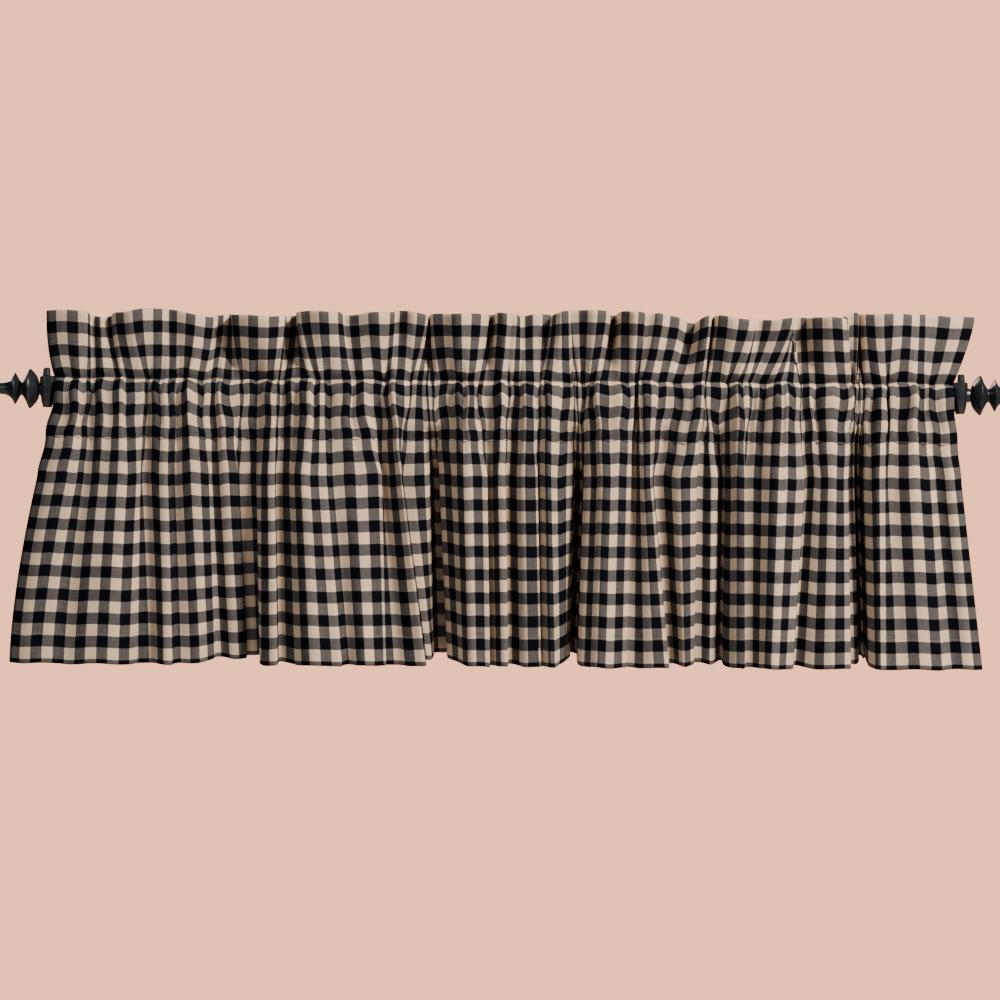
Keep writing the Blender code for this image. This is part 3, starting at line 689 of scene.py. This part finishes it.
class ClothForm:
    """The hung sheet's middle surface as a grid of points (row, column, xyz) in mm."""

    def __init__(self, check, count):
        waist = fold_creases(SKIRT_FOLDS, WAIST_SIDES, 2, check, SKIRT_DEPTH)
        hem = fold_creases(SKIRT_FOLDS, HEM_SIDES, 6, check, SKIRT_DEPTH)
        top = fold_creases(HEADING_FOLDS, HEADING_SIDES, 2, check, HEADING_DEPTH)
        self.checks = self.columns(np.concatenate((waist[0], hem[0], top[0])), count)
        checks = self.checks
        self.waist = level_section(checks, waist, WAIST_PLUMB, CREASE_SOFTNESS)
        self.hem = level_section(checks, hem, HEM_PLUMB, CREASE_SOFTNESS)
        self.top = level_section(checks, top, HEADING_PLUMB, HEADING_SOFTNESS)
        line = np.concatenate(([0.0], HEADING_FOLDS[:, :2].ravel(), [CHECKS_ACROSS]))
        heights = np.concatenate((
            [HEADING_SIDES[0][2]], HEADING_FOLDS[:, 6:8].ravel(), [HEADING_SIDES[1][2]]))
        self.top_height = softened(checks, line, heights, HEIGHT_SOFTNESS)
        self.top_height = self.top_height + 0.8 * gathers(checks, 2.1, 4.0)
        eased = level_section(checks, waist, WAIST_PLUMB, GATHER_SOFTNESS)
        stripes = ROD_STRIPES[:, 0]
        line = np.stack((stripes, stripes + 0.5), axis=1).ravel()
        across = softened(checks, line, ROD_STRIPES[:, 1:].ravel(), ROD_SOFTNESS)
        self.rod = (across + ROD_PLUMB, eased[1])
        depth = np.clip(eased[1], ROD_DEEPEST, None) - ROD_DRAW
        self.low = (
            self.rod[0] + SEAM_SPREAD * (eased[0] - self.rod[0]),
            SEAM_FOLDS * depth + SEAM_OUT)
        self.skirt_flare = 1 + SKIRT_FLARE * np.clip(1 - checks / SIDE_PANEL, 0, None)
        self.heading_flare = HEADING_FLARE + EDGE_FLARE * np.exp(-checks / EDGE_REACH)
        self.fine = gathers(checks, 1.15, 0.0) + 0.6 * gathers(checks, 0.62, 2.0)
        pucker = POCKET_FOLDS * depth + 2.5 * self.fine + 1.5
        self.pucker = 0.5 * (pucker + np.sqrt(pucker ** 2 + 3.0))
        self.pinch = pinched(checks)
        self.swell = (self.pinch + 0.3) * (0.55 + 0.45 * gathers(checks, 3.3, 5.0))
        deepest = np.clip(depth - 4.0, UPPER_SEAM_DEEPEST, None)
        self.high_out = UPPER_SEAM_FOLDS * deepest + 2.0 * self.pinch - 0.4
        self.high_lift = 0.6 + 1.0 * gathers(checks, 3.4, 1.0) + 1.6 * self.pinch
        self.low_lift = 1.5 * gathers(checks, 4.1, 2.0) + 0.7 * self.fine
        self.sway = 1.6 * gathers(checks, 3.7, 6.0)
        self.drawn = 1.8 * gathers(checks, 2.9, 3.0)
        self.seam_wander = 1.5 * gathers(checks, 2.3, 1.0)

    def columns(self, creases, count):
        """Checks of the columns: three times as close together near a crease."""
        fine = np.linspace(0.0, CHECKS_ACROSS, 16001)
        near = np.abs(fine[:, None] - creases[None, :]).min(axis=1)
        density = 1.0 + 2.0 * np.exp(-(near / 0.24) ** 2)
        total = np.concatenate(([0.0], np.cumsum((density[:-1] + density[1:]) / 2)))
        return np.interp(np.linspace(0.0, total[-1], count), total, fine)

    def grid(self, across, out, height):
        """Points of a block of rows."""
        across, out, height = np.broadcast_arrays(across, out, height)
        return np.stack((across, -out - WALL_TO_ROD, height), axis=-1)

    def skirt(self, heights):
        """Rows of the skirt.

        Below the waist, across and out run straight from the waist's section to the
        hem's, sooner in the left side panel. Above it they ease into the gathers.
        """
        height = np.asarray(heights, dtype=float)[:, None]
        drop = (WAIST_HEIGHT - height) / (WAIST_HEIGHT - HEM_HEIGHT)
        share = np.clip(drop, 0.0, 1.0)
        spread = 1 - (1 - share) ** self.skirt_flare
        across = self.waist[0] + spread * (self.hem[0] - self.waist[0])
        out = self.waist[1] + share * (self.hem[1] - self.waist[1])
        rise = ease((height - WAIST_HEIGHT) / (LOWER_SEAM - WAIST_HEIGHT))
        across = across + rise * (self.low[0] - self.waist[0])
        out = out + rise * (self.low[1] - self.waist[1])
        near_seam = np.exp(-np.abs(LOWER_SEAM - height) / FINE_REACH)
        out = out + near_seam * FINE_FOLDS * self.fine
        out = out - SEAM_DENT * bump_at(height, LOWER_SEAM, 1.6)
        hem_line = HEM_HEIGHT + HEM_DEPTH
        out = out - HEM_DENT * bump_at(height, hem_line, 1.5)
        out = out + HEM_STEP * (height < hem_line)
        lift = HEM_LIFT * share * np.clip(9 - out, 0, None) + rise * self.low_lift
        lift = lift + share ** 3 * 0.8 * gathers(self.checks, 3.1, 5.0)
        return self.grid(across, out, height + lift)

    def pocket(self, count):
        """Rows of the pocket's front, from the lower seam over the rod to the upper one.

        A profile round the rod, pushed out along its normal by the puckers.
        """
        out, height, normal_out, normal_up = along_profile(POCKET_FRONT, count)
        share = np.linspace(0.0, 1.0, count)[:, None]
        body = ease(share / 0.3) * ease((1 - share) / 0.22)
        push = body * self.pucker
        low = ease(1 - share / 0.6)
        across = self.rod[0] + low * (self.low[0] - self.rod[0])
        across = across + self.sway * np.sin(2 * np.pi * share) * body
        across = across + self.drawn * ease((share - 0.6) / 0.4)
        drift = ease(1 - share / 0.3) * (self.low[1] + FINE_FOLDS * self.fine)
        drift = drift + ease((share - 0.87) / 0.13) * (self.high_out - 1.0)
        near_top = ease((share - 0.45) / 0.4)
        push = push + PINCH_SWELL * self.swell * near_top * ease((1 - share) / 0.15)
        return self.grid(
            across,
            out[:, None] + push * normal_out[:, None] + drift,
            height[:, None] + push * normal_up[:, None] + near_top * self.high_lift
            + ease(1 - share / 0.5) * self.low_lift)

    def heading(self, shares):
        """Rows of the heading's front, share 0 at the upper seam and 1 at the top.

        Across and out run from the seam's line to the top's, sooner the larger the flare,
        plus swells just above the seam and fine folds that die away upwards.
        """
        share = np.asarray(shares, dtype=float)[:, None]
        spread = 1 - (1 - share) ** self.heading_flare
        across = self.rod[0] + self.drawn * np.exp(-share / 0.2)
        across = across + spread * (self.top[0] - self.rod[0])
        out = self.high_out + spread * (self.top[1] - self.high_out)
        swell = share / PINCH_RISE * np.exp(1 - share / PINCH_RISE)
        out = out + swell * (PINCH_SWELL * self.swell + HEADING_SWELL)
        out = out + 1.9 * self.fine * ease(share / 0.1) * np.exp(-share / HEADING_FINE)
        start = UPPER_SEAM + self.high_lift
        return self.grid(across, out, start + share * (self.top_height - start))

    def back_pocket(self, count):
        """Rows of the pocket's back, from the upper seam round behind the rod.

        A profile behind the rod, pushed out along its normal by small gathers.
        """
        out, height, normal_out, normal_up = along_profile(POCKET_BACK, count)
        share = np.linspace(0.0, 1.0, count)[:, None]
        body = ease(share / 0.25) * ease((1 - share) / 0.25)
        push = body * (2.2 + 1.8 * gathers(self.checks, 1.1, 3.0))
        low = ease((share - 0.4) / 0.6)
        across = self.rod[0] + low * (self.low[0] - self.rod[0])
        drift = ease((share - 0.65) / 0.35) * self.low[1]
        near_top = ease(1 - share / 0.2)
        across = across + near_top * self.drawn
        drift = drift + near_top * (self.high_out - 1.0)
        lift = near_top * self.high_lift + ease((share - 0.5) / 0.5) * self.low_lift
        return self.grid(
            across,
            out[:, None] + push * normal_out[:, None] + drift,
            height[:, None] + push * normal_up[:, None] + lift)


def row_normals(grid):
    """Unit normals of a grid: the cross of its steps along a row and up the rows."""
    normal = np.cross(np.gradient(grid, axis=1), np.gradient(grid, axis=0))
    return normal / np.linalg.norm(normal, axis=2, keepdims=True)


def sheet_grid(cloth):
    """The whole sheet's middle surface and its flat measure.

    From the turned hem's edge down its back, up the front of skirt, pocket and heading,
    over the top and down the back to the tail under the lower seam.
    """
    check = cloth.check / MM
    layer = cloth.thickness / MM
    form = ClothForm(check, cloth.columns)
    hem_line = HEM_HEIGHT + HEM_DEPTH
    # The rows are closest at the hem, its stitch line and the lower seam.
    skirt_heights = np.concatenate((
        np.array([0.0, 1.5, 5.0, 12.0, 20.0, 26.0, 27.8, 29.0, 30.2, 32.0]) + HEM_HEIGHT,
        np.linspace(hem_line + 9.0, WAIST_HEIGHT, 19),
        np.linspace(WAIST_HEIGHT, LOWER_SEAM, 12)[1:-2],
        np.array([-1.6, 0.0, 1.5]) + LOWER_SEAM,
    ))
    skirt = form.skirt(skirt_heights)
    pocket = form.pocket(17)
    heading = form.heading((
        0.0, 0.025, 0.07, 0.13, 0.2, 0.28, 0.38, 0.5, 0.62, 0.74, 0.86, 0.95, 1.0))
    front = np.concatenate((skirt, pocket[1:], heading[1:]))
    normals = row_normals(front)
    seam_row = len(skirt) + len(pocket) - 2

    # The back of the heading lies behind the front, and comes closer towards the fold.
    places = np.arange(-1, -len(heading), -1)
    heading_back = front[places] - HEADING_APART * normals[places]
    fold = (front[-1] + heading_back[0]) / 2 + np.array((0.0, 0.0, FOLD_RISE))
    pocket_back = form.back_pocket(11)
    tail = form.skirt(LOWER_SEAM + np.array([0.5, -1.5, -TAIL]))
    tail = tail + np.array((0.0, TAIL_BEHIND, 0.0))
    hem_back_rows = np.array([8, 6, 4, 2, 1])
    hem_back = front[hem_back_rows] - 1.5 * layer * normals[hem_back_rows]
    hem_fold = front[0] - 0.7 * layer * normals[0] - np.array((0.0, 0.0, 0.5))

    grid = np.concatenate((
        hem_back, hem_fold[None], front, fold[None], heading_back, pocket_back[1:], tail))
    steps = np.linalg.norm(np.diff(grid, axis=0), axis=2)
    travelled = np.concatenate((np.zeros((1, steps.shape[1])), np.cumsum(steps, axis=0)))
    hem_row = len(hem_back) + 1
    low_row = hem_row + len(skirt) - 1
    high_row = hem_row + seam_row
    top_row = hem_row + len(front) - 1
    flat_along = np.empty(travelled.shape)
    flat_along[:hem_row + 1] = travelled[:hem_row + 1] - travelled[hem_row]
    seam_measure = HEM_TO_UPPER_SEAM + form.seam_wander
    anchors = (
        (hem_row, low_row, 0.0, HEM_TO_LOWER_SEAM),
        (low_row, high_row, HEM_TO_LOWER_SEAM, seam_measure),
        (high_row, top_row, seam_measure, HEM_TO_TOP),
    )
    for start, end, low, high in anchors:
        share = travelled[start:end + 1] - travelled[start]
        share = share / (travelled[end] - travelled[start])
        flat_along[start:end + 1] = low + share * (high - low)
    behind = np.mean(travelled[top_row:] - travelled[top_row], axis=1, keepdims=True)
    flat_along[top_row:] = HEM_TO_TOP + behind
    flat_across = np.broadcast_to(form.checks * check, travelled.shape)
    return grid, np.stack((flat_across, flat_along), axis=-1)


def build_cloth(cloth):
    """The sheet, closed: the middle surface moved half its thickness each way."""
    grid, flat = sheet_grid(cloth)
    half = cloth.thickness / MM / 2
    normals = row_normals(grid)
    rows, columns = grid.shape[:2]
    outer = (grid + half * normals).reshape(-1, 3)
    inner = (grid - half * normals).reshape(-1, 3)
    points = np.concatenate((outer, inner))
    count = rows * columns
    outside = grid_faces(rows, columns)
    inside = grid_faces(rows, columns, count)[:, ::-1]
    index = np.arange(count).reshape(rows, columns)
    loops = (index[0], index[:, -1], index[-1, ::-1], index[::-1, 0])
    rims = [
        np.stack((line[1:], line[:-1], line[:-1] + count, line[1:] + count), axis=-1)
        for line in loops
    ]
    quads = np.concatenate([outside, inside] + rims)
    measure = np.concatenate((flat.reshape(-1, 2), flat.reshape(-1, 2)))
    piece = make_piece("check_cloth_sheet", points, quads, woven_check(cloth),
                       measure)
    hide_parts("valance_cloth")
    return piece


# ------------------------------------------------------------------ rod, finials, brackets


def turned(name, profile, start, direction, segments, material):
    """A solid turned about the rod's axis.

    Each profile point (distance, radius) becomes a ring: x is start plus the distance,
    y and z are the radius times the cosine and sine of the angle.
    """
    distance, radius = np.array(profile).T
    angle = np.arange(segments) * (2 * np.pi / segments) * direction
    x = np.broadcast_to((start + direction * distance)[:, None], (len(distance), segments))
    y = -WALL_TO_ROD + radius[:, None] * np.cos(angle)
    z = radius[:, None] * np.sin(angle)
    points = np.stack((x, y, z), axis=-1).reshape(-1, 3)
    quads = grid_faces(len(distance), segments, wrap=True)
    last = (len(distance) - 1) * segments
    caps = (tuple(range(segments - 1, -1, -1)), tuple(range(last, last + segments)))
    return make_piece(name, points, quads, material, caps=caps)


def rounded_profile(profile, cuts):
    """A profile with its corners cut: points at a fifth and four fifths of each leg."""
    line = np.array(profile)
    for _ in range(cuts):
        near = line[:-1] * 0.8 + line[1:] * 0.2
        far = line[:-1] * 0.2 + line[1:] * 0.8
        inner = np.stack((near, far), axis=1).reshape(-1, 2)
        line = np.concatenate((line[:1], inner[1:-1], line[-1:]))
    return line


def finial_profile():
    """Two discs and a neck, then a round knob that stops just short of its pole."""
    neck_end, neck_radius = FINIAL_PROFILE[-1]
    first = math.asin(neck_radius / KNOB_RADIUS)
    centre = neck_end + KNOB_RADIUS * math.cos(first)
    angle = np.linspace(first, math.pi - 0.03, 26)[1:]
    knob = np.stack(
        (centre - KNOB_RADIUS * np.cos(angle), KNOB_RADIUS * np.sin(angle)), axis=-1)
    return np.concatenate((rounded_profile(FINIAL_PROFILE, 2), knob))


# ------------------------------------------------------------------ operators


class VALANCE_OT_cloth(bpy.types.Operator):
    """Build the gathered check cloth"""

    bl_idname = "valance.cloth"
    bl_label = "Cloth"

    def execute(self, context):
        build_cloth(context.scene.valance.cloth)
        return {"FINISHED"}


class VALANCE_OT_rod(bpy.types.Operator):
    """Build the plain round rod"""

    bl_idname = "valance.rod"
    bl_label = "Rod"

    def execute(self, context):
        paint = black_paint("rod_paint", context.scene.valance.paint, (0.05, 1.2, 1.2))
        length = ROD_RIGHT_END - ROD_LEFT_END
        profile = (
            (0.0, ROD_RADIUS - 0.8), (0.3, ROD_RADIUS - 0.25), (0.8, ROD_RADIUS),
            (length - 0.8, ROD_RADIUS), (length - 0.3, ROD_RADIUS - 0.25),
            (length, ROD_RADIUS - 0.8),
        )
        rod = turned("black_rod", profile, ROD_LEFT_END, 1, 72, paint)
        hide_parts("rod")
        return {"FINISHED"}


class VALANCE_OT_finials(bpy.types.Operator):
    """Build the two turned finials"""

    bl_idname = "valance.finials"
    bl_label = "Finials"

    def execute(self, context):
        paint = black_paint("finial_paint", context.scene.valance.paint, (1.1, 0.16, 0.16))
        ends = (
            ("left_turned_finial", "left_finial", ROD_LEFT_END - JOINT_GAP, -1),
            ("right_turned_finial", "right_finial", ROD_RIGHT_END + JOINT_GAP, 1),
        )
        for name, node, start, direction in ends:
            finial = turned(name, finial_profile(), start, direction, 96, paint)
            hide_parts(node)
        return {"FINISHED"}


class VALANCE_OT_brackets(bpy.types.Operator):
    """Paint the brackets and their set screws"""

    bl_idname = "valance.brackets"
    bl_label = "Brackets"

    def execute(self, context):
        paint = black_paint("bracket_paint", context.scene.valance.paint, (0.8, 0.8, 0.12))
        for name in ("left_bracket", "right_bracket", "left_set_screw", "right_set_screw"):
            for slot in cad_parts[name].material_slots:
                slot.material = paint
        return {"FINISHED"}


class VALANCE_OT_stage(bpy.types.Operator):
    """Set the floor, the soft light and the camera"""

    bl_idname = "valance.stage"
    bl_label = "Stage"

    def execute(self, context):
        build_stage(context.scene, context.scene.valance.stage)
        return {"FINISHED"}


def build_stage(scene, stage):
    """A pale floor below the view, a soft key and fill, and a straight-on camera."""
    graph = Graph("pale_floor")
    spot = graph.node("ShaderNodeTexCoord", None, None, 3)
    cloud = graph.node("ShaderNodeTexNoise", None, {"Vector": spot, "Scale": 3.0})
    graph.finish(
        graph.colour_mix(cloud, (0.60, 0.56, 0.52, 1.0), (0.64, 0.60, 0.56, 1.0)), 0.8)
    mesh = bpy.data.meshes.new("floor")
    left, right, near, far = FLOOR_SIDES
    corners = [(x, y, FLOOR_LEVEL) for x, y in (
        (left, near), (right, near), (right, far), (left, far))]
    mesh.from_pydata(corners, [], [(0, 1, 2, 3)])
    mesh.materials.append(graph.material)
    floor = bpy.data.objects.new("floor", mesh)
    scene.collection.objects.link(floor)

    # The backdrop's colour is only for sight; the room's own light is weaker and neutral.
    world = bpy.data.worlds.new("soft_room")
    world.use_nodes = True
    tree = world.node_tree
    background = tree.nodes["Background"]
    seen = tree.nodes.new("ShaderNodeLightPath")
    mix = tree.nodes.new("ShaderNodeMix")
    mix.data_type = "RGBA"
    tree.links.new(seen.outputs["Is Camera Ray"], mix.inputs[0])
    mix.inputs[6].default_value = opaque(ROOM_LIGHT)
    mix.inputs[7].default_value = opaque(stage.backdrop)
    tree.links.new(mix.outputs[2], background.inputs["Color"])
    scene.world = world

    # Each lamp: name, place, sides, power in watts and colour.
    lamps = (
        ("key", (1.7, -1.8, 1.6), (0.6, 0.6), 236.0, (1.0, 0.91, 0.80)),
        ("fill", (-1.5, -2.0, 0.7), (1.2, 1.2), 15.0, (0.90, 0.94, 1.0)),
        ("back", (-1.5, 2.6, 1.3), (1.4, 1.4), 70.0, (1.0, 0.92, 0.84)),
    )
    target = np.array((0.0, -WALL_TO_ROD * MM, AIM_LEVEL))
    for name, place, size, power, colour in lamps:
        light = bpy.data.lights.new(name, "AREA")
        light.shape = "RECTANGLE"
        light.size, light.size_y = size
        light.energy = power
        light.color = colour
        lamp = bpy.data.objects.new(name, light)
        lamp.location = place
        aim = target - np.array(place)
        lamp.rotation_euler = (
            math.atan2(math.hypot(aim[0], aim[1]), -aim[2]), 0.0, math.atan2(-aim[0], aim[1]))
        scene.collection.objects.link(lamp)

    camera = bpy.data.cameras.new("camera")
    camera.sensor_width = 36.0
    camera.lens = camera.sensor_width * stage.camera_distance / FRAME_WIDTH
    camera.clip_end = 50.0
    view = bpy.data.objects.new("camera", camera)
    cloth_plane = -(WALL_TO_ROD + FACES_OUT) * MM
    view.location = (VIEW_ACROSS, cloth_plane - stage.camera_distance, VIEW_LEVEL)
    view.rotation_euler = (math.radians(90), stage.roll, 0.0)
    scene.collection.objects.link(view)
    scene.camera = view


class VALANCE_PT_panel(bpy.types.Panel):
    """Lists the valance's settings and steps"""

    bl_idname = "VALANCE_PT_panel"
    bl_label = "Valance"
    bl_space_type = "VIEW_3D"
    bl_region_type = "UI"
    bl_category = "Valance"

    def draw(self, context):
        settings = context.scene.valance
        for group, names in (
            (settings.cloth, ("check", "thickness", "columns", "black_yarn", "tan_yarn")),
            (settings.paint, ("colour", "roughness")),
            (settings.stage, ("backdrop", "camera_distance", "roll")),
        ):
            for name in names:
                self.layout.prop(group, name)
        for operator in OPERATORS:
            self.layout.operator(operator.bl_idname)


GROUPS = (ClothSettings, PaintSettings, StageSettings, ValanceSettings)
OPERATORS = (
    VALANCE_OT_rod,
    VALANCE_OT_cloth,
    VALANCE_OT_finials,
    VALANCE_OT_brackets,
    VALANCE_OT_stage,
)
CLASSES = GROUPS + OPERATORS + (VALANCE_PT_panel,)


def register():
    for made in CLASSES:
        bpy.utils.register_class(made)
    bpy.types.Scene.valance = bpy.props.PointerProperty(type=ValanceSettings)


def unregister():
    del bpy.types.Scene.valance
    for made in reversed(CLASSES):
        bpy.utils.unregister_class(made)


def main():
    register()
    bpy.ops.valance.rod()
    bpy.ops.valance.cloth()
    bpy.ops.valance.finials()
    bpy.ops.valance.brackets()
    bpy.ops.valance.stage()


if __name__ == "__main__":
    main()
